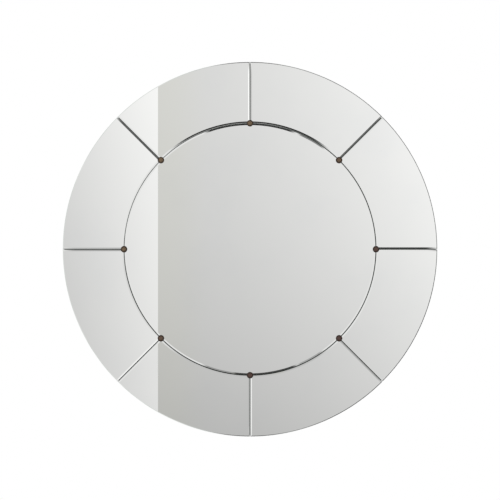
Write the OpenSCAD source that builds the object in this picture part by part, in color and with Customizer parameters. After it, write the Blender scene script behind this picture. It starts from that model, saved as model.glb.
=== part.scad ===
// Round panelled wall mirror: a bevelled centre pane inside a ring of bevelled rim panes,
// taped to a black board and held at every pane corner by a domed bronze rosette. Four
// blocks behind the board stand it off the wall, and the upper two carry keyhole hangers.
// The mirror hangs upright: +Z is up and the glass faces -Y. The origin lies midway between
// the mouths of the two keyholes, on the back of their plates.
// Each module is drawn about the mirror's centre as it would lie on the wall, local y up
// the wall and local z out of it, and upright() stands it up.

/* [Glass] */
// Outside diameter of the whole mirror
mirror_d = 914.4; // [760:0.1:1200]
// Diameter of the round centre pane
centre_d = 614; // [460:1:700]
// Number of panes in the rim
rim_count = 8; // [4:1:8]
// Thickness of the silvered glass
glass_t = 5; // [3:0.5:8]
// Open joint between neighbouring panes
joint_gap = 1; // [0.6:0.1:1.6]
// Width of the bevel along a joint
bevel_w = 4.5; // [2:0.5:5.5]
// How far the bevel drops below the face
bevel_drop = 0.8; // [0.4:0.1:1.4]
// Small chamfer left along the nose of a bevel
nose_arris = 0.4; // [0.2:0.1:0.8]
// Polished chamfer round the outside edge
rim_arris = 1; // [0.4:0.1:1.5]

/* [Rosettes] */
// Diameter of a rosette cap
cap_d = 15.9; // [14:0.1:22]
// Straight skirt at the foot of the cap
cap_skirt = 1.4; // [1:0.1:2]
// Rise of the cap's dome above its skirt
cap_rise = 3.4; // [3.2:0.1:5]
// Wall of the cap
cap_wall = 0.7; // [0.4:0.1:1]
// Thickness of the washer that the cap snaps over
washer_t = 1.2; // [0.8:0.1:1.4]
// Shank diameter of a rosette screw
rosette_screw_d = 4; // [3:0.5:5]
// Length of a rosette screw under its head
rosette_screw_l = 16; // [13:1:17]

/* [Board] */
// Thickness of the board
board_t = 12; // [11:1:20]
// How far the board stays inside the glass edge
board_inset = 3; // [1:0.5:15]
// Chamfer round the board's back edge
board_chamfer = 4; // [1:0.5:8]
// Thickness of the foam tape under the glass
tape_t = 1.6; // [0.8:0.1:3]
// Width of a strip of tape
tape_w = 20; // [12:1:30]

/* [Blocks] */
// Width of a block behind the board
block_w = 110; // [100:1:150]
// Height of a block
block_h = 70; // [64:1:90]
// Thickness of a block
block_t = 12; // [10:1:18]
// Radius of a block's corners
block_corner = 6; // [2:1:12]
// Shank diameter of a block screw
block_screw_d = 4; // [3:0.5:5]
// Length of a block screw
block_screw_l = 20; // [16:1:22]
// Diameter of the felt dots that touch the wall
felt_d = 20; // [12:1:26]
// Thickness of a felt dot
felt_t = 1.5; // [1:0.5:4]

/* [Hangers] */
// Distance between the two keyhole hangers
hanger_spacing = 406.4; // [250:0.1:460]
// Height of the hanger plates above the mirror's centre
hanger_rise = 280; // [260:1:310]
// Length of a hanger plate
plate_l = 56; // [52:1:60]
// Width of a hanger plate
plate_w = 20; // [18:1:26]
// Thickness of a hanger plate
plate_t = 2; // [1.5:0.1:3]
// Diameter of the round mouth that takes a screw's head
mouth_d = 10; // [8:0.5:12]
// Width of the slot that grips a screw's shank
slot_w = 5.2; // [4.5:0.1:6]
// How far the slot rises above the mouth's centre
slot_rise = 14; // [10:1:16]
// Shank diameter of a hanger screw
hanger_screw_d = 3.5; // [3:0.1:4]
// Length of a hanger screw
hanger_screw_l = 9; // [7:1:9]

/* [Hidden] */
$fn = 96;
edge_fn = 360;            // the large rounds of the panes and the board
cut = 1;                  // overshoot of a cutting tool past the face it leaves by
cap_clear = 0.1;          // cap over washer
pilot_clear = 0.05;       // screw in its pilot hole
plate_clear = 0.15;       // hanger plate in its recess
notch_clear = 0.75;       // pane corner round a rosette screw
bolt_clear = 0.2;         // screw shank through a washer or a plate
tip_clear = 1;            // pilot hole past a screw's tip

// Levels out from the wall
block_z = felt_t;
board_z = block_z + block_t;
tape_z = board_z + board_t;
glass_z = tape_z + tape_t;
face_z = glass_z + glass_t;

// Plan sizes of the glass
step = 360 / rim_count;
rim_r = mirror_d / 2;
centre_r = centre_d / 2;
rim_inner_r = centre_r + joint_gap;
rosette_pitch_r = centre_r + joint_gap / 2;
wedge_apex = joint_gap / 2 / sin(step / 2);      // from the mirror's centre to a wedge's point
arris_drop = bevel_drop * nose_arris / bevel_w;  // fall of the bevel over the arris's width

// Rosette
cap_r = cap_d / 2;
dome_r = (cap_r * cap_r + cap_rise * cap_rise) / (2 * cap_rise);
dome_z = cap_skirt + cap_rise - dome_r;
washer_r = cap_r - cap_wall - cap_clear;
rosette_head_d = 1.75 * rosette_screw_d;
rosette_head_h = 1.8;
rosette_recess = 3.4;     // width of the driver's cross
notch_r = rosette_screw_d / 2 + notch_clear;
rosette_tip_z = face_z + washer_t - rosette_screw_l;

// Board
board_r = rim_r - board_inset;
tape_margin = 22;         // bare glass past the end of a strip
centre_strips = 5;
centre_strip_pitch = 2 * centre_r / (centre_strips + 1);
rim_strip_pitch = 120;

// Blocks: two screws and two felt dots on each, from its centre
block_margin = 13;        // from a block's ends to its screws and dots
block_side_x = block_w / 2 - block_margin;
block_screw_y = 15;
felt_y = -18;
block_head_d = 2 * block_screw_d;

// Hanger
mouth_y = -slot_rise / 2;
slot_top_y = mouth_y + slot_rise;
mouth_rise = hanger_rise + mouth_y;
plate_screw_inset = 7;    // from a plate's ends to its screws
plate_screw_y = plate_l / 2 - plate_screw_inset;
head_room = 4;            // slot in the block, over the mouth's diameter
pocket_w = mouth_d + head_room;
hanger_head_d = 2 * hanger_screw_d;
screw_cone = 1.2;         // length of a screw's point, over its diameter
sides = [["left", -1], ["right", 1]];
rows = [["upper", 1], ["lower", -1]];
corners = [for (row = rows, side = sides) [str(row[0], "_", side[0]), side[1], row[1]]];

// Stands a piece up and moves the origin from the mirror's centre to the keyholes
module upright() rotate([90, 0, 0]) translate([0, -mouth_rise, -block_z]) children();

module at_pane(i) rotate([0, 0, (i - 0.5) * step]) children();
module at_rosette(i) rotate([0, 0, (i - 1) * step]) translate([rosette_pitch_r, 0, 0]) children();
module at_block(side, row = 1) translate([side * hanger_spacing / 2, row * hanger_rise, 0]) children();

// ---- Glass ----

// Room for the rosette screws, through every pane corner
module corner_notches() {
    for (i = [1:rim_count])
        at_rosette(i) translate([0, 0, glass_z - cut]) cylinder(r = notch_r, h = glass_t + 2 * cut);
}

module centre_mirror() {
    color("lightsteelblue") upright() difference() {
        rotate_extrude($fn = edge_fn) polygon([
            [0, glass_z], [centre_r, glass_z],
            [centre_r, face_z - bevel_drop - nose_arris],
            [centre_r - nose_arris, face_z - bevel_drop + arris_drop],
            [centre_r - bevel_w, face_z], [0, face_z]
        ]);
        corner_notches();
    }
}

// The whole rim as one ring, bevelled inside and chamfered outside
module rim_ring() {
    rotate_extrude($fn = edge_fn) polygon([
        [rim_inner_r, glass_z], [rim_r, glass_z],
        [rim_r, face_z - rim_arris], [rim_r - rim_arris, face_z],
        [rim_inner_r + bevel_w, face_z],
        [rim_inner_r + nose_arris, face_z - bevel_drop + arris_drop],
        [rim_inner_r, face_z - bevel_drop - nose_arris]
    ]);
}

// One pane's wedge about local x, kept half a joint clear of each neighbour
module pane_wedge() {
    reach = mirror_d;
    translate([wedge_apex, 0, glass_z - cut]) linear_extrude(glass_t + 2 * cut) polygon([
        [0, 0],
        [reach * cos(step / 2), -reach * sin(step / 2)],
        [1.5 * reach, 0],
        [reach * cos(step / 2), reach * sin(step / 2)]
    ]);
}

// Cuts the bevel and its arris along one radial side of the wedge. The section is drawn
// across the side, and its bevel line runs on above the face so that the cut is clean.
module side_bevel(side) {
    arris_z = arris_drop - bevel_drop;
    mirror([0, side < 0 ? 1 : 0, 0]) translate([wedge_apex, 0, face_z]) rotate([0, 0, step / 2])
        rotate([90, 0, 90]) linear_extrude(rim_r + cut) polygon([
            [-bevel_w * (1 + cut / bevel_drop), cut],
            [-nose_arris, arris_z],
            [cut, arris_z - nose_arris - cut],
            [cut, cut]
        ]);
}

module rim_mirror(i) {
    color("lightsteelblue") upright() difference() {
        at_pane(i) difference() {
            intersection() {
                rim_ring();
                pane_wedge();
            }
            side_bevel(1);
            side_bevel(-1);
        }
        corner_notches();
    }
}

// ---- Rosettes, one at each pane corner ----

module rosette_cap(i) {
    color("#5c4a3f") upright() at_rosette(i) translate([0, 0, face_z]) difference() {
        intersection() {
            cylinder(r = cap_r, h = cap_skirt + cap_rise + cut);
            translate([0, 0, dome_z]) sphere(r = dome_r);
        }
        intersection() {
            translate([0, 0, -cut]) cylinder(r = cap_r - cap_wall, h = cap_skirt + cap_rise + cut);
            translate([0, 0, dome_z]) sphere(r = dome_r - cap_wall);
        }
    }
}

module rosette_washer(i) {
    color("#8a7a68") upright() at_rosette(i) translate([0, 0, face_z]) difference() {
        cylinder(r = washer_r, h = washer_t);
        translate([0, 0, -cut])
            cylinder(r = rosette_screw_d / 2 + bolt_clear, h = washer_t + 2 * cut);
    }
}

// Shank from local z = 0 down to the tip of its point
module screw_shank(d, l) {
    point = screw_cone * d;
    translate([0, 0, -l]) cylinder(r1 = 0.1 * d, r2 = d / 2, h = point);
    translate([0, 0, point - l]) cylinder(r = d / 2, h = l - point);
}

// Cross that a driver turns, sunk from local z = 0
module driver_cross(width, depth) {
    for (a = [0, 90]) rotate([0, 0, a]) translate([-width / 2, -width / 8, -depth])
        cube([width, width / 4, depth + cut]);
}

module rosette_screw(i) {
    color("silver") upright() at_rosette(i) translate([0, 0, face_z + washer_t]) difference() {
        union() {
            cylinder(r = rosette_head_d / 2, h = rosette_head_h);
            screw_shank(rosette_screw_d, rosette_screw_l);
        }
        translate([0, 0, rosette_head_h]) driver_cross(rosette_recess, rosette_head_h / 2);
    }
}

// ---- Tape under the glass ----

module tape_strip(length) {
    translate([-length / 2, -tape_w / 2, tape_z]) cube([length, tape_w, tape_t]);
}

module centre_tape() {
    color("white") upright() for (k = [1:centre_strips]) {
        x = (k - (centre_strips + 1) / 2) * centre_strip_pitch;
        half = sqrt(pow(centre_r - tape_margin, 2) - pow(abs(x) + tape_w / 2, 2));
        translate([x, 0, 0]) rotate([0, 0, 90]) tape_strip(2 * half);
    }
}

module rim_tape(i) {
    length = rim_r - rim_inner_r - 2 * tape_margin;
    color("white") upright() at_pane(i) for (side = [-1, 1])
        translate([(rim_r + rim_inner_r) / 2, side * rim_strip_pitch / 2, 0]) tape_strip(length);
}

// ---- Board ----

module backing_board() {
    color("#26231f") upright() difference() {
        rotate_extrude($fn = edge_fn) polygon([
            [0, board_z], [board_r - board_chamfer, board_z],
            [board_r, board_z + board_chamfer], [board_r, tape_z], [0, tape_z]
        ]);
        for (i = [1:rim_count]) at_rosette(i) translate([0, 0, rosette_tip_z - tip_clear])
            cylinder(r = rosette_screw_d / 2 + pilot_clear, h = tape_z - rosette_tip_z + tip_clear + cut);
        for (c = corners) at_block(c[1], c[2]) at_block_screws() translate([0, 0, block_z])
            cylinder(r = block_screw_d / 2 + pilot_clear, h = block_screw_l + tip_clear);
    }
}

// ---- Blocks behind the board ----

module at_block_screws() for (side = [-1, 1]) translate([side * block_side_x, block_screw_y, 0]) children();
module at_felt_dots() for (side = [-1, 1]) translate([side * block_side_x, felt_y, 0]) children();

// Countersunk hole or head, wide at local z = 0 and narrowing up
module countersink(d, head_d) {
    cylinder(r1 = head_d / 2, r2 = d / 2, h = (head_d - d) / 2);
}

// Clear hole for a countersunk screw whose head is flush at local z = 0
module countersunk_hole(d, head_d, depth) {
    translate([0, 0, -cut]) cylinder(r = d / 2 + bolt_clear, h = depth + 2 * cut);
    countersink(d + 2 * bolt_clear, head_d + 2 * bolt_clear);
}

// A countersunk screw, head flush at local z = 0 and its point up
module countersunk_screw(d, length, head_d, recess) {
    difference() {
        union() {
            countersink(d, head_d);
            rotate([180, 0, 0]) screw_shank(d, length);
        }
        rotate([180, 0, 0]) driver_cross(recess, recess / 3);
    }
}

// Board of one block with rounded corners and its two screw holes
module block_body() {
    x = block_w / 2 - block_corner;
    y = block_h / 2 - block_corner;
    translate([0, 0, block_z]) difference() {
        union() {
            for (sx = [-x, x], sy = [-y, y]) translate([sx, sy, 0]) cylinder(r = block_corner, h = block_t);
            translate([-block_w / 2, -y, 0]) cube([block_w, 2 * y, block_t]);
            translate([-x, -block_h / 2, 0]) cube([2 * x, block_h, block_t]);
        }
        at_block_screws() countersunk_hole(block_screw_d, block_head_d, block_t);
    }
}

module spacer_block(side) {
    color("burlywood") upright() at_block(side, -1) block_body();
}

// A plate's outline with round ends, grown by a clearance, from local z = 0 up
module hanger_outline(grow, height) {
    end_y = (plate_l - plate_w) / 2;
    for (y = [-end_y, end_y]) translate([0, y, 0]) cylinder(r = plate_w / 2 + grow, h = height);
    translate([-plate_w / 2 - grow, -end_y, 0]) cube([plate_w + 2 * grow, 2 * end_y, height]);
}

// Recess for the plate, a slot right through for the screw head, and pilot holes
module hanger_seat() {
    translate([0, 0, -cut]) hanger_outline(plate_clear, plate_t + cut);
    for (y = [mouth_y, slot_top_y])
        translate([0, y, -cut]) cylinder(r = pocket_w / 2, h = block_t + 2 * cut);
    translate([-pocket_w / 2, mouth_y, -cut]) cube([pocket_w, slot_rise, block_t + 2 * cut]);
    for (y = [-plate_screw_y, plate_screw_y]) translate([0, y, 0])
        cylinder(r = hanger_screw_d / 2 + pilot_clear, h = block_t + cut);
}

module hanger_block(side) {
    color("burlywood") upright() at_block(side) difference() {
        block_body();
        translate([0, 0, block_z]) hanger_seat();
    }
}

module block_screws(c) {
    color("silver") upright() at_block(c[1], c[2]) at_block_screws() translate([0, 0, block_z])
        countersunk_screw(block_screw_d, block_screw_l, block_head_d, block_screw_d);
}

module felt_dots(c) {
    color("#3b3a38") upright() at_block(c[1], c[2]) at_felt_dots() cylinder(r = felt_d / 2, h = felt_t);
}

// ---- Keyhole hangers ----

module hanger_plate(side) {
    color("gainsboro") upright() at_block(side) translate([0, 0, block_z]) difference() {
        hanger_outline(0, plate_t);
        translate([0, mouth_y, -cut]) cylinder(r = mouth_d / 2, h = plate_t + 2 * cut);
        translate([0, slot_top_y, -cut]) cylinder(r = slot_w / 2, h = plate_t + 2 * cut);
        translate([-slot_w / 2, mouth_y, -cut]) cube([slot_w, slot_rise, plate_t + 2 * cut]);
        for (y = [-plate_screw_y, plate_screw_y]) translate([0, y, 0])
            countersunk_hole(hanger_screw_d, hanger_head_d, plate_t);
    }
}

module hanger_screws(side) {
    color("silver") upright() at_block(side)
        for (y = [-plate_screw_y, plate_screw_y]) translate([0, y, block_z])
            countersunk_screw(hanger_screw_d, hanger_screw_l, hanger_head_d, hanger_screw_d);
}

centre_mirror();
centre_tape();
backing_board();
for (i = [1:rim_count]) {
    rim_mirror(i);
    rim_tape(i);
    rosette_cap(i);
    rosette_washer(i);
    rosette_screw(i);
}
for (side = sides) {
    hanger_block(side[1]);
    spacer_block(side[1]);
    hanger_plate(side[1]);
    hanger_screws(side[1]);
}
for (c = corners) {
    block_screws(c);
    felt_dots(c);
}
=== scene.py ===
from math import asin, cos, pi, radians, sin, sqrt

import bmesh
import bpy
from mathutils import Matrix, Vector


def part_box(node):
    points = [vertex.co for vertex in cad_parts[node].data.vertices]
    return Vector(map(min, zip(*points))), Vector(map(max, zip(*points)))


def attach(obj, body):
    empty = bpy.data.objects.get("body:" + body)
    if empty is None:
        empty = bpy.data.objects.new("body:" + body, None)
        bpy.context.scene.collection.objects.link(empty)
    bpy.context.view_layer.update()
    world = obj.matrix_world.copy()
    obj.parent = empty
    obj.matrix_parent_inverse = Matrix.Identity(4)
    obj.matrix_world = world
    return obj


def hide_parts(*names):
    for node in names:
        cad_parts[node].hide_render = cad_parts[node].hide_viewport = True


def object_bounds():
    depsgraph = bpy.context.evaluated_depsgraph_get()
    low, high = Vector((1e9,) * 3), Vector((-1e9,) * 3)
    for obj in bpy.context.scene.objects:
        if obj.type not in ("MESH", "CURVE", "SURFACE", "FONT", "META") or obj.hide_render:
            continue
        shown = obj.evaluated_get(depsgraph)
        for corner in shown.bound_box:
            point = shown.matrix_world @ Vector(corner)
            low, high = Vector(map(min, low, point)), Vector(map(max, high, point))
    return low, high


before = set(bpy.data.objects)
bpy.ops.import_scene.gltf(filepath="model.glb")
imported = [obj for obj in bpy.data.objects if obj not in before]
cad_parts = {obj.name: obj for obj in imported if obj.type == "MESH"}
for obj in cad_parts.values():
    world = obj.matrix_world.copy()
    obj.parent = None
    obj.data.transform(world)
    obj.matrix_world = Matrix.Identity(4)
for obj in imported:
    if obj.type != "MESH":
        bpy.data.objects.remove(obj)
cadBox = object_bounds()
print("frame loaded:", len(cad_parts), "nodes")

# Where things are, all from the frame: X runs to the right, Z up, and the glass faces -Y.
rimNames = ["rim_mirror_%d" % number for number in range(1, 9)]
capNames = ["rosette_cap_%d" % number for number in range(1, 9)]
discLow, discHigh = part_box("centre_mirror")
discMiddle = (discLow + discHigh) / 2
rimBoxes = [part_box(name) for name in rimNames]
mirror = {
    "x": discMiddle.x,
    "z": discMiddle.z,
    "face": discLow.y,  # front of the glass
    "back": discHigh.y,  # its silvered and painted back
    "centreRadius": (discHigh.x - discLow.x) / 2,
    "rimRadius": (max(high.x for low, high in rimBoxes) - min(low.x for low, high in rimBoxes)) / 2,
    "panes": len(rimBoxes),
}
capMiddles = [(low + high) / 2 for low, high in map(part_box, capNames)]
pitchRadius = sqrt((capMiddles[0].x - mirror["x"]) ** 2 + (capMiddles[0].z - mirror["z"]) ** 2)
paneTurn = 2 * pi / mirror["panes"]  # from one joint to the next


def newTree(name):
    material = bpy.data.materials.new(name)
    material.use_nodes = True
    return material, material.node_tree, material.node_tree.nodes["Principled BSDF"]


def setInput(tree, socket, value):  # links a socket, or sets a plain value
    if isinstance(value, bpy.types.NodeSocket):
        tree.links.new(value, socket)
    else:
        socket.default_value = value


def setInputs(tree, node, values):
    for label, value in values.items():
        setInput(tree, node.inputs[label], value)


def calc(tree, operation, *values):
    node = tree.nodes.new("ShaderNodeMath")
    node.operation = operation
    for socket, value in zip(node.inputs, values):
        setInput(tree, socket, value)
    return node.outputs[0]


def fade(tree, value, start, end, low=0.0, high=1.0):  # smooth step from low at start to high at end
    node = tree.nodes.new("ShaderNodeMapRange")
    node.interpolation_type = "SMOOTHSTEP"
    given = {"Value": value, "From Min": start, "From Max": end, "To Min": low, "To Max": high}
    setInputs(tree, node, given)
    return node.outputs[0]


def spread(tree, grain, low=0.0, high=1.0):  # a noise, whose values crowd round a half, from low to high
    return fade(tree, grain, 0.3, 0.7, low, high)


def blendLevel(tree, first, second, factor):  # first at factor 0, second at 1
    return calc(tree, "MULTIPLY_ADD", factor, calc(tree, "SUBTRACT", second, first), first)


def mixColour(tree, factor, first, second):  # the node's colours are its inputs 6 and 7 and its output 2
    node = tree.nodes.new("ShaderNodeMix")
    node.data_type = "RGBA"
    for index, value in ((0, factor), (6, first), (7, second)):
        if isinstance(value, tuple):
            value = (*value, 1.0)
        setInput(tree, node.inputs[index], value)
    return node.outputs[2]


def objectPoint(tree, stretch=(1.0, 1.0, 1.0)):
    node = tree.nodes.new("ShaderNodeTexCoord")
    mapping = tree.nodes.new("ShaderNodeMapping")
    mapping.inputs["Scale"].default_value = stretch
    tree.links.new(node.outputs["Object"], mapping.inputs["Vector"])
    return mapping.outputs[0]


def noise(tree, point, scale, detail=3.0, roughness=0.5):
    node = tree.nodes.new("ShaderNodeTexNoise")
    setInputs(tree, node, {"Vector": point, "Scale": scale, "Detail": detail, "Roughness": roughness})
    return node.outputs["Fac"]


def cells(tree, point, scale, output="Distance"):
    node = tree.nodes.new("ShaderNodeTexVoronoi")
    setInputs(tree, node, {"Vector": point, "Scale": scale})
    return node.outputs[output]


def bump(tree, shader, height, distance, strength):  # distance is the relief in metres
    node = tree.nodes.new("ShaderNodeBump")
    setInputs(tree, node, {"Height": height, "Distance": distance, "Strength": strength})
    tree.links.new(node.outputs[0], shader.inputs["Normal"])


def axisOf(tree, source, axis):
    node = tree.nodes.new("ShaderNodeSeparateXYZ")
    tree.links.new(source, node.inputs[0])
    return node.outputs[axis]


def acrossMirror(tree, point):  # distances right of the mirror's axis and above it
    right = calc(tree, "SUBTRACT", axisOf(tree, point, 0), mirror["x"])
    above = calc(tree, "SUBTRACT", axisOf(tree, point, 2), mirror["z"])
    return right, above


def upperLeft(tree, point):  # from -1 at the lower right rosettes to 1 at the upper left ones
    towardsLeft, towardsTop = 0.6, 0.8  # a direction, one long
    right, above = acrossMirror(tree, point)
    along = calc(tree, "MULTIPLY_ADD", above, towardsTop, calc(tree, "MULTIPLY", right, -towardsLeft))
    return calc(tree, "DIVIDE", along, pitchRadius)


silverLook = {
    "tint": (0.905, 0.908, 0.895), "hazeTint": (0.880, 0.886, 0.878),
    "smooth": 0.002, "haze": 0.016, "dust": 0.12,  # roughness where clean, where wiped, and added by dust
}


def silveredGlass():
    material, tree, shader = newTree("silveredGlass")
    point = objectPoint(tree)
    haze = fade(tree, noise(tree, point, 5.0, 4.0, 0.6), 0.42, 0.78)  # a faint wiped bloom
    specks = fade(tree, cells(tree, point, 900.0), 0.09, 0.04)  # a tenth or two of a millimetre across
    sparse = fade(tree, noise(tree, point, 60.0, 2.0), 0.60, 0.72)
    dust = calc(tree, "MULTIPLY", specks, sparse)
    wiped = silverLook["haze"] - silverLook["smooth"]
    rough = calc(tree, "MULTIPLY_ADD", haze, wiped, silverLook["smooth"])
    setInputs(tree, shader, {
        "Base Color": mixColour(tree, haze, silverLook["tint"], silverLook["hazeTint"]),
        "Roughness": calc(tree, "MULTIPLY_ADD", dust, silverLook["dust"], rough),
        "Metallic": 1.0,
    })
    return material


arrisLook = {
    "ground": (0.38, 0.40, 0.385), "polish": (0.46, 0.475, 0.46), "bright": (0.85, 0.855, 0.845),
    "ringWidth": 0.0022, "ringFade": 0.0004,  # from the centre pane out over the round joint's ground edges
    "brightFrom": 0.30, "brightFull": 0.80,  # how far to the upper left these carry a painted highlight
    "smooth": 0.05, "rough": 0.15, "relief": 0.00002,
}


def groundArris():
    material, tree, shader = newTree("groundArris")
    point = objectPoint(tree)
    grain = noise(tree, point, 1400.0, 2.0, 0.7)
    drift = spread(tree, noise(tree, point, 22.0, 2.0))
    worn = mixColour(tree, drift, arrisLook["ground"], arrisLook["polish"])
    right, above = acrossMirror(tree, point)
    squares = calc(tree, "MULTIPLY_ADD", right, right, calc(tree, "MULTIPLY", above, above))
    ringEnd = mirror["centreRadius"] + arrisLook["ringWidth"]
    ringFade = arrisLook["ringFade"]
    atRing = fade(tree, calc(tree, "SQRT", squares), ringEnd + ringFade, ringEnd - ringFade)
    toLeft = fade(tree, upperLeft(tree, point), arrisLook["brightFrom"], arrisLook["brightFull"])
    # a painted highlight: the round joint's ground edges are coloured bright towards the upper left
    paintedHighlight = calc(tree, "MULTIPLY", atRing, toLeft)
    setInputs(tree, shader, {
        "Base Color": mixColour(tree, paintedHighlight, worn, arrisLook["bright"]),
        "Roughness": spread(tree, grain, arrisLook["smooth"], arrisLook["rough"]),
        "Metallic": 1.0,
    })
    bump(tree, shader, grain, arrisLook["relief"], 0.4)
    return material


sideLook = {
    "deep": (0.10, 0.17, 0.145), "pale": (0.30, 0.38, 0.345),
    "smooth": 0.10, "rough": 0.26, "coat": 0.4, "coatRough": 0.06,
}


def glassEdge():  # the green side of the glass
    material, tree, shader = newTree("glassEdge")
    point = objectPoint(tree)
    depth = calc(tree, "SUBTRACT", mirror["back"], axisOf(tree, point, 1))  # metres out from the silvering
    core = fade(tree, depth, 0.0, mirror["back"] - mirror["face"])
    pale = calc(tree, "MULTIPLY", core, fade(tree, noise(tree, point, 35.0), 0.25, 0.75, 0.5, 1.0))
    strokes = noise(tree, objectPoint(tree, (1, 6, 1)), 300.0)
    setInputs(tree, shader, {
        "Base Color": mixColour(tree, pale, sideLook["deep"], sideLook["pale"]),
        "Roughness": spread(tree, strokes, sideLook["smooth"], sideLook["rough"]),
        "IOR": 1.52,
        "Coat Weight": sideLook["coat"],
        "Coat Roughness": sideLook["coatRough"],
    })
    return material


backingLook = {"paint": (0.115, 0.118, 0.12), "thin": (0.20, 0.165, 0.14), "smooth": 0.45, "rough": 0.62}


def backingPaint():
    material, tree, shader = newTree("backingPaint")
    point = objectPoint(tree)
    patches = fade(tree, noise(tree, point, 14.0, 5.0, 0.65), 0.5, 0.8)
    setInputs(tree, shader, {
        "Base Color": mixColour(tree, patches, backingLook["paint"], backingLook["thin"]),
        "Roughness": spread(tree, noise(tree, point, 420.0), backingLook["smooth"], backingLook["rough"]),
    })
    return material


bronzeLook = {
    "rim": (0.034, 0.021, 0.0165), "crownInPaintedShade": (0.108, 0.067, 0.058), "crownInPaintedLight": (0.205, 0.147, 0.092),
    "verdigris": (0.070, 0.062, 0.050), "polish": 0.30, "dull": 0.54, "relief": 0.00005,
}


def antiqueBronze():  # rubbed on the crown, and painted light: the crowns are lighter on the rosettes at the upper left
    material, tree, shader = newTree("antiqueBronze")
    point = objectPoint(tree)
    reach = tree.nodes.new("ShaderNodeAttribute")
    reach.attribute_name = "reach"  # 0 on the crown to 1 at the foot
    reach = reach.outputs["Fac"]
    blotch = spread(tree, noise(tree, point, 320.0, 4.0, 0.6), -0.16, 0.16)
    worn = fade(tree, calc(tree, "ADD", reach, blotch), 0.98, 0.30)
    # painted light, not wear: the crowns go from painted shade at the lower right rosettes to painted light
    # at the upper left
    rubbed = fade(tree, upperLeft(tree, point), -1.0, 1.0)
    crown = mixColour(tree, rubbed, bronzeLook["crownInPaintedShade"], bronzeLook["crownInPaintedLight"])
    colour = mixColour(tree, worn, bronzeLook["rim"], crown)
    patches = fade(tree, noise(tree, point, 900.0), 0.58, 0.70)
    bloom = calc(tree, "MULTIPLY", patches, fade(tree, reach, 0.6, 0.95, 0.0, 0.5))
    setInputs(tree, shader, {
        "Base Color": mixColour(tree, bloom, colour, bronzeLook["verdigris"]),
        "Roughness": fade(tree, worn, 0.0, 1.0, bronzeLook["dull"], bronzeLook["polish"]),
        "Metallic": 0.85,
    })
    pores = fade(tree, cells(tree, point, 700.0), 0.10, 0.28)
    cast = calc(tree, "ADD", noise(tree, point, 1500.0, 3.0, 0.6), pores)
    bump(tree, shader, cast, bronzeLook["relief"], 0.55)
    return material


zincLook = {
    "light": (0.70, 0.71, 0.72), "dark": (0.48, 0.49, 0.505), "stain": (0.33, 0.315, 0.29),
    "smooth": 0.26, "rough": 0.42, "relief": 0.00003,
}


def zincSteel():
    material, tree, shader = newTree("zincSteel")
    point = objectPoint(tree)
    tone = axisOf(tree, cells(tree, point, 420.0, output="Color"), 0)  # each spangle has its own
    stain = fade(tree, noise(tree, point, 140.0, 4.0, 0.65), 0.56, 0.78, 0.0, 0.6)
    colour = mixColour(tree, tone, zincLook["dark"], zincLook["light"])
    setInputs(tree, shader, {
        "Base Color": mixColour(tree, stain, colour, zincLook["stain"]),
        "Roughness": fade(tree, tone, 0.0, 1.0, zincLook["smooth"], zincLook["rough"]),
        "Metallic": 1.0,
    })
    drawn = noise(tree, objectPoint(tree, (1, 1, 9)), 900.0, 2.0)
    bump(tree, shader, drawn, zincLook["relief"], 0.5)
    return material


boardLook = {
    "paint": (0.021, 0.0195, 0.018), "rubbed": (0.048, 0.044, 0.040), "dust": (0.105, 0.10, 0.094),
    "smooth": 0.50, "rough": 0.68, "relief": 0.00025,
}


def paintedBoard():
    material, tree, shader = newTree("paintedBoard")
    point = objectPoint(tree)
    stipple = noise(tree, point, 520.0, 3.0, 0.55)
    rubbed = fade(tree, noise(tree, point, 9.0, 6.0, 0.7), 0.52, 0.74)
    specks = fade(tree, noise(tree, point, 210.0, 4.0, 0.7), 0.60, 0.74)
    settled = fade(tree, noise(tree, point, 3.5), 0.45, 0.7, 0.0, 0.55)
    colour = mixColour(tree, rubbed, boardLook["paint"], boardLook["rubbed"])
    setInputs(tree, shader, {
        "Base Color": mixColour(tree, calc(tree, "MULTIPLY", specks, settled), colour, boardLook["dust"]),
        "Roughness": spread(tree, stipple, boardLook["smooth"], boardLook["rough"]),
    })
    bump(tree, shader, stipple, boardLook["relief"], 0.7)
    return material


plyLook = {
    "face": (0.60, 0.44, 0.27), "grain": (0.47, 0.32, 0.18), "core": (0.36, 0.235, 0.13),
    "ply": 0.0013,  # thickness of one veneer
    "smooth": 0.48, "rough": 0.64, "relief": 0.0002,
}


def birchPly():  # grain on the faces, stacked veneers on the edges
    material, tree, shader = newTree("birchPly")
    point = objectPoint(tree)
    ply = plyLook["ply"]
    streaks = noise(tree, objectPoint(tree, (2.2, 60.0, 26.0)), 9.0, 5.0, 0.6)
    figure = noise(tree, objectPoint(tree, (1.0, 8.0, 5.0)), 12.0)
    face = mixColour(tree, fade(tree, streaks, 0.36, 0.68), plyLook["face"], plyLook["grain"])
    face = mixColour(tree, fade(tree, figure, 0.35, 0.75, 0.0, 0.35), face, plyLook["core"])
    fromBehind = calc(tree, "ADD", axisOf(tree, point, 1), 0.1)  # never below zero
    layer = fade(tree, calc(tree, "PINGPONG", fromBehind, ply), ply * 0.40, ply * 0.60)
    edge = mixColour(tree, layer, plyLook["core"], plyLook["face"])
    pores = fade(tree, noise(tree, point, 700.0), 0.45, 0.7, 0.0, 0.5)
    edge = mixColour(tree, pores, edge, plyLook["grain"])
    normal = tree.nodes.new("ShaderNodeTexCoord").outputs["Normal"]
    onFace = fade(tree, calc(tree, "ABSOLUTE", axisOf(tree, normal, 1)), 0.6, 0.8)
    setInputs(tree, shader, {
        "Base Color": mixColour(tree, onFace, edge, face),
        "Roughness": spread(tree, streaks, plyLook["smooth"], plyLook["rough"]),
    })
    bump(tree, shader, streaks, plyLook["relief"], 0.5)
    return material


tapeLook = {
    "dim": (0.66, 0.655, 0.63), "pale": (0.76, 0.755, 0.735),
    "smooth": 0.68, "rough": 0.88, "relief": 0.0002,
}


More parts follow.
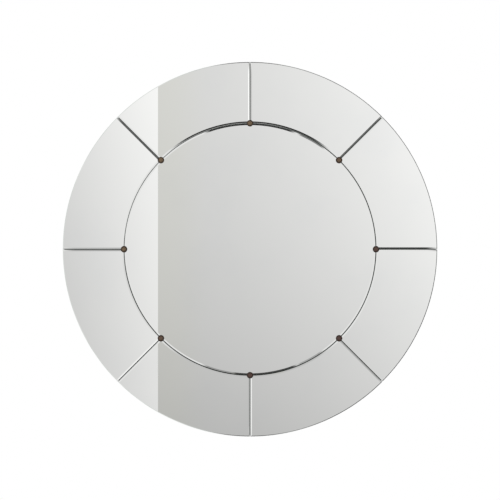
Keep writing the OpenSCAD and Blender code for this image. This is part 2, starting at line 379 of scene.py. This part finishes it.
def foamTape():
    material, tree, shader = newTree("foamTape")
    point = objectPoint(tree)
    bubbles = cells(tree, point, 1600.0)
    tone = spread(tree, noise(tree, point, 60.0))
    setInputs(tree, shader, {
        "Base Color": mixColour(tree, tone, tapeLook["dim"], tapeLook["pale"]),
        "Roughness": fade(tree, bubbles, 0.1, 0.6, tapeLook["smooth"], tapeLook["rough"]),
    })
    bump(tree, shader, bubbles, tapeLook["relief"], 0.6)
    return material


feltLook = {
    "dark": (0.028, 0.027, 0.026), "fleck": (0.085, 0.082, 0.078),
    "smooth": 0.86, "rough": 0.97, "sheen": 0.35, "relief": 0.0005,
}


def pressedFelt():
    material, tree, shader = newTree("pressedFelt")
    point = objectPoint(tree)
    fibres = noise(tree, objectPoint(tree, (1.0, 1.0, 3.2)), 1500.0, 4.0, 0.7)
    crossed = noise(tree, objectPoint(tree, (3.0, 1.0, 1.0)), 1300.0, 4.0, 0.7)
    tuft = calc(tree, "MAXIMUM", fibres, crossed)
    setInputs(tree, shader, {
        "Base Color": mixColour(tree, fade(tree, tuft, 0.52, 0.72), feltLook["dark"], feltLook["fleck"]),
        "Roughness": spread(tree, noise(tree, point, 300.0), feltLook["smooth"], feltLook["rough"]),
        "Sheen Weight": feltLook["sheen"],
        "Sheen Roughness": 0.6,
    })
    bump(tree, shader, tuft, feltLook["relief"], 0.8)
    return material


finishes = {
    "silver": silveredGlass(), "arris": groundArris(), "edge": glassEdge(), "backing": backingPaint(),
    "bronze": antiqueBronze(), "zinc": zincSteel(), "board": paintedBoard(), "ply": birchPly(),
    "foam": foamTape(), "felt": pressedFelt(),
}
print("finishes made:", len(finishes))


mergeDistance = 0.000002  # points closer than this are one


def meshObject(name, points, edges=(), faces=()):
    mesh = bpy.data.meshes.new(name)
    mesh.from_pydata([tuple(point) for point in points], list(edges), list(faces))
    mesh.update()
    made = bpy.data.objects.new(name, mesh)
    bpy.context.scene.collection.objects.link(made)
    return made


def newGroup(name, sizes):
    group = bpy.data.node_groups.new(name, "GeometryNodeTree")
    group.interface.new_socket("Geometry", in_out="INPUT", socket_type="NodeSocketGeometry")
    for label, kind in sizes:
        group.interface.new_socket(label, in_out="INPUT", socket_type="NodeSocket" + kind)
    group.interface.new_socket("Geometry", in_out="OUTPUT", socket_type="NodeSocketGeometry")
    return group, group.nodes.new("NodeGroupInput").outputs, group.nodes.new("NodeGroupOutput").inputs


def addNode(group, kind, wires=(), **settings):  # wires are (input, value or socket)
    node = group.nodes.new(kind)
    for label, value in settings.items():
        setattr(node, label, value)
    for place, value in wires:
        setInput(group, node.inputs[place], value)
    return node


def valueInput(node):  # the one of its Value inputs that suits its data type
    return next(socket for socket in node.inputs if socket.name == "Value" and socket.enabled)


def turnProfileGroup():  # a profile of (radius, depth) points swept round the Y axis
    group, given, result = newGroup("turnProfile", [
        ("Segments", "Int"), ("Outer Radius", "Float"), ("Finish", "Material")])
    size = addNode(group, "GeometryNodeAttributeDomainSize", [(0, given["Geometry"])])
    columns = calc(group, "ADD", given["Segments"], 1.0)
    grid = addNode(group, "GeometryNodeMeshGrid", [
        ("Vertices X", size.outputs["Point Count"]), ("Vertices Y", columns)])
    index = group.nodes.new("GeometryNodeInputIndex").outputs[0]
    row = calc(group, "FLOOR", calc(group, "DIVIDE", index, columns))
    share = calc(group, "DIVIDE", calc(group, "MODULO", index, columns), given["Segments"])
    angle = calc(group, "MULTIPLY", share, 2 * pi)
    taken = addNode(group, "GeometryNodeSampleIndex", [
        ("Geometry", given["Geometry"]), ("Index", row)], data_type="FLOAT_VECTOR")
    setInput(group, valueInput(taken), group.nodes.new("GeometryNodeInputPosition").outputs[0])
    radius, depth = (axisOf(group, taken.outputs[0], axis) for axis in (0, 1))
    across = calc(group, "MULTIPLY", calc(group, "COSINE", angle), radius)
    up = calc(group, "MULTIPLY", calc(group, "SINE", angle), radius)
    spot = addNode(group, "ShaderNodeCombineXYZ", [(0, across), (1, depth), (2, up)])
    swept = addNode(group, "GeometryNodeSetPosition", [
        ("Geometry", grid.outputs[0]), ("Position", spot.outputs[0])])
    noted = addNode(group, "GeometryNodeStoreNamedAttribute", [
        ("Geometry", swept.outputs[0]), ("Name", "reach")], data_type="FLOAT", domain="POINT")
    setInput(group, valueInput(noted), calc(group, "DIVIDE", radius, given["Outer Radius"]))
    closed = addNode(group, "GeometryNodeMergeByDistance", [
        ("Geometry", noted.outputs[0]), ("Distance", mergeDistance)])
    real = addNode(group, "GeometryNodeRealizeInstances", [(0, closed.outputs[0])])
    finish = addNode(group, "GeometryNodeSetMaterial", [
        ("Geometry", real.outputs[0]), ("Material", given["Finish"])])
    setInput(group, result[0], finish.outputs[0])
    return group


def setAtPlacesGroup():  # a piece at each point, with a finish for each way it faces
    group, given, result = newGroup("setAtPlaces", [
        ("Piece", "Object"), ("Front", "Material"), ("Arris", "Material"), ("Side", "Material"),
        ("Back", "Material")])
    turn = addNode(group, "GeometryNodeInputNamedAttribute", [("Name", "turn")], data_type="FLOAT")
    rotation = addNode(group, "ShaderNodeCombineXYZ", [(1, turn.outputs[0])])
    source = addNode(group, "GeometryNodeObjectInfo", [("Object", given["Piece"])])
    placed = addNode(group, "GeometryNodeInstanceOnPoints", [
        ("Points", given["Geometry"]), ("Instance", source.outputs["Geometry"]),
        ("Rotation", rotation.outputs[0])])
    real = addNode(group, "GeometryNodeRealizeInstances", [(0, placed.outputs[0])])
    flow = addNode(group, "GeometryNodeSetMaterial", [
        ("Geometry", real.outputs[0]), ("Material", given["Arris"])]).outputs[0]
    facing = axisOf(group, group.nodes.new("GeometryNodeInputNormal").outputs[0], 1)
    steep = calc(group, "ABSOLUTE", facing)
    choices = (
        ("Front", facing, "LESS_THAN", -0.98),
        ("Back", facing, "GREATER_THAN", 0.9),
        ("Side", steep, "LESS_THAN", 0.1),
    )
    for label, value, operation, limit in choices:
        chosen = addNode(
            group, "FunctionNodeCompare", [(0, value), (1, limit)], data_type="FLOAT", operation=operation)
        flow = addNode(group, "GeometryNodeSetMaterial", [
            ("Geometry", flow), ("Selection", chosen.outputs[0]), ("Material", given[label])]).outputs[0]
    setInput(group, result[0], flow)
    return group


turnProfile = turnProfileGroup()
setAtPlaces = setAtPlacesGroup()


def bakeObject(holder, name):  # what its modifiers make, as a plain mesh object of that name
    bpy.context.view_layer.update()
    graph = bpy.context.evaluated_depsgraph_get()
    shown = holder.evaluated_get(graph)
    mesh = bpy.data.meshes.new_from_object(shown, preserve_all_data_layers=True, depsgraph=graph)
    bpy.data.objects.remove(holder)
    mesh.name = name
    made = bpy.data.objects.new(name, mesh)
    bpy.context.scene.collection.objects.link(made)
    return made


def runGroup(holder, group, values, name):
    modifier = holder.modifiers.new(group.name, "NODES")
    modifier.node_group = group
    sockets = {item.name: item.identifier for item in group.interface.items_tree if item.in_out == "INPUT"}
    for label, value in values.items():
        modifier[sockets[label]] = value
    return bakeObject(holder, name)


def tidySolid(made, creaseDegrees):  # closed, facing outwards, smooth but for its creases
    body = bmesh.new()
    body.from_mesh(made.data)
    bmesh.ops.remove_doubles(body, verts=body.verts, dist=mergeDistance)
    bmesh.ops.dissolve_degenerate(body, edges=body.edges, dist=mergeDistance / 2)
    bmesh.ops.recalc_face_normals(body, faces=body.faces)
    for face in body.faces:
        face.smooth = True
    for edge in body.edges:
        edge.smooth = edge.is_manifold and edge.calc_face_angle(0.0) < radians(creaseDegrees)
    openEdges = sum(not edge.is_manifold for edge in body.edges)
    volume = round(body.calc_volume(signed=True) * 1e9, 1)
    print("  ", made.name, "faces", len(body.faces), "open edges", openEdges, "volume mm3", volume)
    body.to_mesh(made.data)
    body.free()
    return made


def turned(name, profile, segments, creaseDegrees, finish):
    points = [(radius, -depth, 0) for radius, depth in profile]
    holder = meshObject(name + "Profile", points, [(i, i + 1) for i in range(len(profile) - 1)])
    outerRadius = max(radius for radius, depth in profile)
    values = {"Segments": segments, "Outer Radius": outerRadius, "Finish": finish}
    return tidySolid(runGroup(holder, turnProfile, values, name), creaseDegrees)


def setOut(name, piece, places, materials):  # places are (point, turn about the mirror's axis)
    holder = meshObject(name + "Places", [point for point, turn in places])
    turns = holder.data.attributes.new("turn", "FLOAT", "POINT")
    turns.data.foreach_set("value", [-turn for point, turn in places])
    values = dict(zip(("Front", "Arris", "Side", "Back"), materials), Piece=piece)
    made = runGroup(holder, setAtPlaces, values, name)
    bpy.data.objects.remove(piece)
    return made


def cutWith(made, cutter, name):
    modifier = made.modifiers.new("notches", "BOOLEAN")
    modifier.operation = "DIFFERENCE"
    modifier.solver = "EXACT"
    modifier.object = cutter
    result = bakeObject(made, name)
    bpy.data.objects.remove(cutter)
    return result


def keepPiece(piece, slot, *replaced):
    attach(piece, "root")
    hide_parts(*replaced)
    print("piece made:", piece.name, len(piece.data.polygons), "faces")
    return piece


# The ground edges are a little wider than the frame's and the bevels a little narrower, so that they read
# as fine lines from a few metres.
pane = {
    "jointGap": 0.001,  # between neighbouring panes
    "bevel": 0.0041, "drop": 0.00073,  # width of the bevel, and how far it falls
    "nose": 0.0008, "rimArris": 0.0018,  # ground edges, at the joints and round the outside
    "notch": 0.00275, "notchSides": 40,  # round each rosette's screw
    "overcut": 0.001,  # how far a notch's cutter stands past the glass
    "segmentsPerPane": 90, "flatRows": 8,
    "crease": 5,  # degrees, past which an edge stays sharp
}
thickness = mirror["back"] - mirror["face"]
mirrorAxis = Vector((mirror["x"], mirror["back"], mirror["z"]))
glassFinishes = [finishes[name] for name in ("silver", "arris", "edge", "backing")]


def jointFall(inward):  # how far the glass falls at a distance in from a joint edge
    if inward >= pane["bevel"]:
        return 0.0
    return pane["drop"] / pane["bevel"] * (pane["bevel"] - inward) + max(0.0, pane["nose"] - inward)


def rimFall(inward):
    return max(0.0, pane["rimArris"] - inward)


def notchCutter(name, angles):  # a round pin through the glass at each rosette
    points, faces = [], []
    radius, sides = pane["notch"], pane["notchSides"]
    for angle in angles:
        middle = Vector((pitchRadius * cos(angle), 0, pitchRadius * sin(angle)))
        back = range(len(points), len(points) + sides)
        front = range(back.stop, back.stop + sides)
        for depth in (-pane["overcut"], thickness + pane["overcut"]):
            for turn in (2 * pi * k / sides for k in range(sides)):
                points.append(middle + Vector((radius * cos(turn), -depth, radius * sin(turn))))
        faces += [(back[k], back[(k + 1) % sides], front[(k + 1) % sides], front[k]) for k in range(sides)]
        faces += [tuple(back), tuple(reversed(front))]
    cutter = meshObject(name, points, faces=faces)
    body = bmesh.new()
    body.from_mesh(cutter.data)
    bmesh.ops.recalc_face_normals(body, faces=body.faces)
    body.to_mesh(cutter.data)
    body.free()
    return cutter


def rimPaneSolid():  # the first pane, set out about an axis through the origin
    inner, outer = mirror["centreRadius"] + pane["jointGap"], mirror["rimRadius"]
    flatColumns, flatRows = pane["segmentsPerPane"], pane["flatRows"]
    flatWidth = outer - inner - pane["rimArris"] - pane["bevel"]
    bevelled = [0.0, pane["nose"], pane["bevel"]]  # distances in from a joint edge
    flat = [pane["bevel"] + flatWidth * k / flatRows for k in range(1, flatRows + 1)]
    radii = [inner + inward for inward in bevelled + flat] + [outer]
    columns = [("lower", inward) for inward in bevelled]
    columns += [("flat", k / flatColumns) for k in range(1, flatColumns)]
    columns += [("upper", inward) for inward in reversed(bevelled)]

    def columnTurn(part, value, radius):  # value is a distance in from a joint, or a share of the flat
        if part == "flat":
            flatStart = asin((pane["jointGap"] / 2 + pane["bevel"]) / radius)
            return flatStart + (paneTurn - 2 * flatStart) * value
        turn = asin((pane["jointGap"] / 2 + value) / radius)
        return paneTurn - turn if part == "upper" else turn

    points = []
    for isFront in (True, False):
        for radius in radii:
            for part, value in columns:
                turn = columnTurn(part, value, radius)
                sideFall = 0.0 if part == "flat" else jointFall(value)
                fall = max(jointFall(radius - inner), rimFall(outer - radius), sideFall)
                depth = thickness - fall if isFront else 0.0
                points.append((radius * cos(turn), -depth, radius * sin(turn)))
    wide, tall = len(columns), len(radii)
    back = wide * tall  # number of the first point on the back
    faces = []
    for i in range(tall - 1):
        for j in range(wide - 1):
            a, b = i * wide + j, i * wide + j + 1
            c, d = b + wide, a + wide
            faces += [(a, b, c, d), (back + d, back + c, back + b, back + a)]
    outline = list(range(wide)) + [i * wide + wide - 1 for i in range(1, tall)]
    outline += [(tall - 1) * wide + j for j in range(wide - 2, -1, -1)]
    outline += [i * wide for i in range(tall - 2, 0, -1)]
    for first, second in zip(outline, outline[1:] + outline[:1]):
        faces.append((first, second, back + second, back + first))
    return tidySolid(meshObject("rimPaneBlank", points, faces=faces), pane["crease"])


def rimPanes():
    blank = cutWith(rimPaneSolid(), notchCutter("rimNotches", [0.0, paneTurn]), "rimPane")
    places = [(mirrorAxis, k * paneTurn) for k in range(mirror["panes"])]
    made = tidySolid(setOut("rimPanes", blank, places, glassFinishes), pane["crease"])
    return keepPiece(made, "silvered_glass", *rimNames)


def centrePane():
    radius = mirror["centreRadius"]
    profile = [(0.0, thickness), (radius * 0.5, thickness), (radius - pane["bevel"], thickness)]
    profile += [(radius - inward, thickness - jointFall(inward)) for inward in (pane["nose"], 0.0)]
    profile += [(radius, 0.0), (radius * 0.5, 0.0), (0.0, 0.0)]
    segments = mirror["panes"] * pane["segmentsPerPane"]
    disc = turned("centreBlank", profile, segments, pane["crease"], finishes["silver"])
    notches = notchCutter("centreNotches", [k * paneTurn for k in range(mirror["panes"])])
    disc = cutWith(disc, notches, "centreDisc")
    made = tidySolid(setOut("centrePane", disc, [(mirrorAxis, 0.0)], glassFinishes), pane["crease"])
    return keepPiece(made, "silvered_glass", "centre_mirror")


rimPanes()
centrePane()
print("glass made")


rosette = {
    "radius": 0.00795, "height": 0.0048, "skirt": 0.0014, "wall": 0.0007,
    "shoulder": 0.0007, "foot": 0.0002,  # radius of the shoulder, and size of the eased foot
    "segments": 64, "domeSteps": 14, "shoulderSteps": 6, "insideSteps": 8,
    "crease": 38, "twist": 0.7,  # each is turned on by this much from the last, in radians
}


def rosetteProfile():  # down the outside, round the foot and back up the inside
    radius, height, wall = rosette["radius"], rosette["height"], rosette["wall"]
    shoulder, foot = rosette["shoulder"], rosette["foot"]
    rise = height - rosette["skirt"]
    domeRadius = (radius * radius + rise * rise) / (2 * rise)
    domeCentre = height - domeRadius

    def dome(reach, inset=0.0):
        return domeCentre + sqrt(max((domeRadius - inset) ** 2 - reach ** 2, 0.0))

    lean = asin((radius - shoulder) / (domeRadius - shoulder))
    middle = (radius - shoulder, domeCentre + (domeRadius - shoulder) * cos(lean))
    top = middle[0] + shoulder * sin(lean)
    shares = [k / rosette["domeSteps"] for k in range(rosette["domeSteps"] + 1)]
    outside = [(top * share, dome(top * share)) for share in shares]
    for k in range(1, rosette["shoulderSteps"] + 1):
        turn = lean + (pi / 2 - lean) * k / rosette["shoulderSteps"]
        outside.append((middle[0] + shoulder * sin(turn), middle[1] + shoulder * cos(turn)))
    outside += [(radius, foot), (radius - foot * 0.3, foot * 0.3), (radius - foot, 0.0)]
    insideRadius = radius - wall
    shares = [1 - k / rosette["insideSteps"] for k in range(rosette["insideSteps"] + 1)]
    inside = [(insideRadius * share, dome(insideRadius * share, wall)) for share in shares]
    return outside + [(insideRadius, 0.0)] + inside


def rosettes():
    bronze, crease = finishes["bronze"], rosette["crease"]
    blank = turned("rosetteBlank", rosetteProfile(), rosette["segments"], crease, bronze)
    spots = [Vector((middle.x, mirror["face"], middle.z)) for middle in capMiddles]
    places = [(spot, k * rosette["twist"]) for k, spot in enumerate(spots)]
    made = tidySolid(setOut("rosetteCaps", blank, places, [bronze] * 4), crease)
    return keepPiece(made, "antique_bronze", *capNames)


rosettes()
print("rosettes made")


feltDot = {
    "radius": 0.010, "thickness": 0.0015, "crown": 0.0002,
    "soft": 0.0005, "gluedEase": 0.0001,  # how far the edge is eased on the wall side and on the glued side
    "segments": 48, "crease": 40, "twist": 0.9,
}
dotNodes = ["felt_dots_" + corner for corner in ("upper_left", "upper_right", "lower_left", "lower_right")]


def feltDots():  # two on each block behind the mirror
    radius, thick, soft = feltDot["radius"], feltDot["thickness"], feltDot["soft"]
    lift = feltDot["crown"] * 0.5
    profile = [(0.0, 0.0), (radius * 0.5, 0.0), (radius - soft, lift)]
    for turn in (pi / 8, pi / 4, 3 * pi / 8, pi / 2):
        profile.append((radius - soft + soft * sin(turn), soft + lift - soft * cos(turn)))
    profile += [(radius, thick * 0.8), (radius - feltDot["gluedEase"], thick), (0.0, thick)]
    places = []
    for node in dotNodes:
        low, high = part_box(node)
        for x in (low.x + radius, high.x - radius):
            places.append((Vector((x, high.y, (low.z + high.z) / 2)), feltDot["twist"] * len(places)))
    felt, crease = finishes["felt"], feltDot["crease"]
    blank = turned("feltBlank", profile, feltDot["segments"], crease, felt)
    made = tidySolid(setOut("feltDots", blank, places, [felt] * 4), crease)
    return keepPiece(made, "felt", *dotNodes)


feltDots()
print("felt dots made")


# The pieces that keep their frame shape take a finish by the start of their names.
finishOfNode = {
    "rosette_washer": "zinc", "rosette_screw": "zinc",
    "hanger_plate": "zinc", "hanger_screws": "zinc", "block_screws": "zinc",
    "backing_board": "board", "hanger_block": "ply", "spacer_block": "ply",
    "centre_tape": "foam", "rim_tape": "foam",
}
for name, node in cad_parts.items():
    for stem, finish in finishOfNode.items():
        if name.startswith(stem):
            node.data.materials.clear()
            node.data.materials.append(finishes[finish])
print("node finishes set")


# The room in front of the glass is set out by slopes: how far right and up a sight line runs, for each
# metre that it runs out from the glass.
studio = {
    "cameraDistance": 3.2, "frameOverMirror": 1.3347, "raise": -0.0019,
    "floorDrop": 1.25, "floorRadius": 3.4, "floorSegments": 96,
    "floorFade": (0.35, 0.98),  # where the floor starts and ends its fade to white, in its radii
    "floorDim": (0.90, 0.90, 0.895), "floorPale": (0.93, 0.93, 0.925),
    "wallEdge": -0.2246,  # where the near wall ends, in metres right of the mirror's axis
    "nearWall": {"level": 1.014, "right": 0.385, "up": 0.108},  # how light it is, and how that changes
    "farWall": {"level": 0.638, "right": 0.13, "up": 0.116},
    "farCurve": {"rightSquared": 0.068, "rightTimesUp": 0.036, "upSquared": -0.031},
    "wallReach": 1.3,  # in mirror radii, past which a wall keeps its level
    "glassReturn": 0.90,  # the share of the light that the glass gives back
    "cornerTint": (1.0, 1.0, 0.965), "cornerFade": (-0.20, -0.44),  # on the far wall, next to the near one
    "besideWall": 0.86, "besideFade": (0.165, 0.215),  # the even ground beyond the walls
    "sides": {"left": 0.92, "right": 0.66, "above": 0.84, "below": 0.52, "behind": 0.74},
    "sidesFade": (0.6, 1.4),
    "edgeOn": {"left": 1.60, "right": 0.35, "dark": 0.06, "north": 0.12},  # the band that the arris sees
}
# Cards and flags round the camera, which the bevels see: their middles and half sizes as slopes, how soft
# their edges are, and their share of the room's light.
cards = [
    {"middle": (0.00, 0.62), "half": (0.165, 0.21), "soft": 0.015, "share": 0.03},  # black, over the mirror
    {"middle": (0.235, 0.42), "half": (0.045, 0.05), "soft": 0.012, "share": 0.28},
    {"middle": (0.00, 0.25), "half": (0.17, 0.05), "soft": 0.03, "share": 0.66},  # grey, under that one
    {"middle": (0.00, -0.258), "half": (0.165, 0.045), "soft": 0.015, "share": 0.03},  # black, below
    {"middle": (0.055, -0.62), "half": (0.12, 0.21), "soft": 0.015, "share": 0.07},
    {"middle": (-0.12, -0.46), "half": (0.055, 0.05), "soft": 0.015, "share": 0.38},
    {"middle": (0.23, -0.41), "half": (0.045, 0.045), "soft": 0.012, "share": 0.48},
    {"middle": (0.25, 0.10), "half": (0.05, 0.08), "soft": 0.03, "share": 0.86},
    # Small ones where the joints' bevels look, for the joints in turn from the right-hand one by the top.
    {"middle": (0.12, -0.367), "half": (0.028, 0.03), "soft": 0.006, "share": 0.04},
    {"middle": (0.345, -0.174), "half": (0.024, 0.024), "soft": 0.006, "share": 0.16},
    {"middle": (0.367, 0.12), "half": (0.03, 0.028), "soft": 0.006, "share": 1.28},
    {"middle": (-0.367, 0.12), "half": (0.03, 0.028), "soft": 0.006, "share": 0.70},
    {"middle": (0.174, 0.345), "half": (0.024, 0.024), "soft": 0.006, "share": 0.14},
    {"middle": (-0.12, 0.367), "half": (0.028, 0.03), "soft": 0.006, "share": 0.50},
    {"middle": (-0.12, -0.367), "half": (0.028, 0.03), "soft": 0.006, "share": 0.74},
    {"middle": (0.174, -0.345), "half": (0.024, 0.024), "soft": 0.006, "share": 1.15},
    {"middle": (-0.367, -0.12), "half": (0.03, 0.028), "soft": 0.006, "share": 1.10},
    {"middle": (0.367, -0.12), "half": (0.03, 0.028), "soft": 0.006, "share": 0.60},
    {"middle": (-0.174, -0.345), "half": (0.024, 0.024), "soft": 0.006, "share": 0.84},
    {"middle": (0.345, 0.174), "half": (0.024, 0.024), "soft": 0.006, "share": 0.56},
]


def withCard(tree, room, slopes, card):
    covers = []
    for slope, middle, half in zip(slopes, card["middle"], card["half"]):
        away = calc(tree, "ABSOLUTE", calc(tree, "SUBTRACT", slope, middle))
        covers.append(fade(tree, away, half + card["soft"], half - card["soft"]))
    cover = calc(tree, "MULTIPLY", *covers)
    return calc(tree, "MULTIPLY", room, calc(tree, "MULTIPLY_ADD", cover, card["share"] - 1.0, 1.0))


def wallLevel(tree, wall, right, up):
    level = calc(tree, "MULTIPLY_ADD", up, wall["up"], wall["level"])
    return calc(tree, "MULTIPLY_ADD", right, wall["right"], level)


def roomInFront(tree, slopes):  # its level, and how much of the corner's tint shows
    toRadii = studio["cameraDistance"] / mirror["rimRadius"]
    held = []
    for slope in slopes:
        reach = calc(tree, "MAXIMUM", calc(tree, "MULTIPLY", slope, toRadii), -studio["wallReach"])
        held.append(calc(tree, "MINIMUM", reach, studio["wallReach"]))
    right, up = held
    farWall = wallLevel(tree, studio["farWall"], right, up)
    bends = (("rightSquared", right, right), ("rightTimesUp", right, up), ("upSquared", up, up))
    for label, first, second in bends:
        product = calc(tree, "MULTIPLY", first, second)
        farWall = calc(tree, "MULTIPLY_ADD", product, studio["farCurve"][label], farWall)
    isNear = calc(tree, "LESS_THAN", slopes[0], studio["wallEdge"] / studio["cameraDistance"])
    level = blendLevel(tree, farWall, wallLevel(tree, studio["nearWall"], right, up), isNear)
    level = calc(tree, "DIVIDE", level, studio["glassReturn"])
    squares = calc(tree, "MULTIPLY_ADD", slopes[0], slopes[0], calc(tree, "MULTIPLY", slopes[1], slopes[1]))
    beside = fade(tree, calc(tree, "SQRT", squares), *studio["besideFade"])
    level = blendLevel(tree, level, studio["besideWall"], beside)
    isFar = calc(tree, "SUBTRACT", 1.0, isNear)
    return level, calc(tree, "MULTIPLY", isFar, fade(tree, right, *studio["cornerFade"]))


# East, north and up are the parts of a direction that is one long, so each runs from -1 to 1.
def roomAround(tree, east, north, up):  # to the sides, above, below and behind
    sides, edge = studio["sides"], studio["edgeOn"]
    level = fade(tree, east, -1.0, 1.0, sides["left"], sides["right"])
    fades = (("above", up, 0.2, 0.9), ("below", up, -0.2, -0.9), ("behind", north, 0.2, 0.7))
    for label, value, start, end in fades:
        level = blendLevel(tree, level, sides[label], fade(tree, value, start, end))
    band = fade(tree, east, -0.5, 0.5, edge["left"], edge["right"])
    topAndFoot = fade(tree, calc(tree, "ABSOLUTE", up), 0.965, 0.99)  # all but straight up or down
    lowRight = calc(tree, "MULTIPLY", fade(tree, up, -0.05, -0.25), fade(tree, east, 0.25, 0.45))
    for darkened in (topAndFoot, lowRight):
        band = blendLevel(tree, band, edge["dark"], darkened)
    offBand = calc(tree, "ABSOLUTE", calc(tree, "SUBTRACT", north, edge["north"]))
    return blendLevel(tree, level, band, fade(tree, offBand, 0.26, 0.16))


def studioWorld():  # white to the camera, and the room to everything else
    world = bpy.data.worlds.new("studioWorld")
    bpy.context.scene.world = world
    world.use_nodes = True
    tree = world.node_tree
    direction = tree.nodes.new("ShaderNodeTexCoord").outputs["Generated"]
    east, north, up = (axisOf(tree, direction, axis) for axis in range(3))
    outFromGlass = calc(tree, "MAXIMUM", calc(tree, "MULTIPLY", north, -1.0), 0.02)  # kept above zero
    slopes = [calc(tree, "DIVIDE", side, outFromGlass) for side in (east, up)]
    room, corner = roomInFront(tree, slopes)
    for card in cards:
        room = withCard(tree, room, slopes, card)
    steep = calc(tree, "MAXIMUM", *[calc(tree, "ABSOLUTE", slope) for slope in slopes])
    around = roomAround(tree, east, north, up)
    room = blendLevel(tree, room, around, fade(tree, steep, *studio["sidesFade"]))
    lit = tree.nodes.new("ShaderNodeVectorMath")
    lit.operation = "SCALE"
    tree.links.new(mixColour(tree, corner, (1.0, 1.0, 1.0), studio["cornerTint"]), lit.inputs[0])
    tree.links.new(room, lit.inputs["Scale"])
    seen = tree.nodes.new("ShaderNodeLightPath").outputs["Is Camera Ray"]
    colour = mixColour(tree, seen, lit.outputs[0], (1.0, 1.0, 1.0))
    setInputs(tree, tree.nodes["Background"], {"Color": colour, "Strength": 1.0})


def paleFloor():  # fades to white before its edge
    low, high = cadBox
    segments, radius = studio["floorSegments"], studio["floorRadius"]
    turns = [2 * pi * k / segments for k in range(segments)]
    ring = [(radius * cos(turn), radius * sin(turn), low.z - studio["floorDrop"]) for turn in turns]
    floor = meshObject("paleFloor", ring, faces=[tuple(range(segments))])
    material, tree, shader = newTree("palePaint")
    paint = mixColour(tree, noise(tree, objectPoint(tree), 2.0), studio["floorDim"], studio["floorPale"])
    setInputs(tree, shader, {"Base Color": paint, "Roughness": 0.8})
    flat = tree.nodes.new("ShaderNodeVectorMath")
    flat.operation = "LENGTH"
    tree.links.new(objectPoint(tree, (1, 1, 0)), flat.inputs[0])
    outward = fade(tree, flat.outputs["Value"], *[radius * share for share in studio["floorFade"]])
    white = tree.nodes.new("ShaderNodeEmission")
    blend = tree.nodes.new("ShaderNodeMixShader")
    for socket, value in zip(blend.inputs, (outward, shader.outputs[0], white.outputs[0])):
        tree.links.new(value, socket)
    tree.links.new(blend.outputs[0], tree.nodes["Material Output"].inputs["Surface"])
    floor.data.materials.append(material)
    floor.visible_glossy = False


lamps = [  # offsets are from the middle of the mirror's face
    {"name": "keyLamp", "offset": (-2.4, -2.2, 2.2), "size": 1.4, "power": 55},
    {"name": "fillLamp", "offset": (2.6, -1.6, 0.6), "size": 1.4, "power": 22},
    {"name": "backLamp", "offset": (1.4, 2.6, 2.0), "size": 1.6, "power": 60},
]


def softLamp(name, offset, size, power):
    lamp = bpy.data.lights.new(name, "AREA")
    lamp.shape = "DISK"
    lamp.size = size
    lamp.energy = power
    made = bpy.data.objects.new(name, lamp)
    made.location = Vector((mirror["x"], mirror["face"], mirror["z"])) + Vector(offset)
    made.rotation_euler = (-Vector(offset)).to_track_quat("-Z", "Y").to_euler()
    made.visible_glossy = False  # the room is what the mirror shows
    bpy.context.scene.collection.objects.link(made)


def studioCamera():
    camera = bpy.data.cameras.new("studioCamera")
    camera.sensor_width = 36.0
    viewWidth = 2 * mirror["rimRadius"] * studio["frameOverMirror"]
    camera.lens = camera.sensor_width * studio["cameraDistance"] / viewWidth
    made = bpy.data.objects.new("studioCamera", camera)
    made.location = (mirror["x"], mirror["face"] - studio["cameraDistance"], mirror["z"] + studio["raise"])
    made.rotation_euler = (pi / 2, 0, 0)
    bpy.context.scene.collection.objects.link(made)
    bpy.context.scene.camera = made


studioWorld()
paleFloor()
for lamp in lamps:
    softLamp(**lamp)
studioCamera()
bpy.context.scene.view_settings.view_transform = "Standard"
print("studio made")
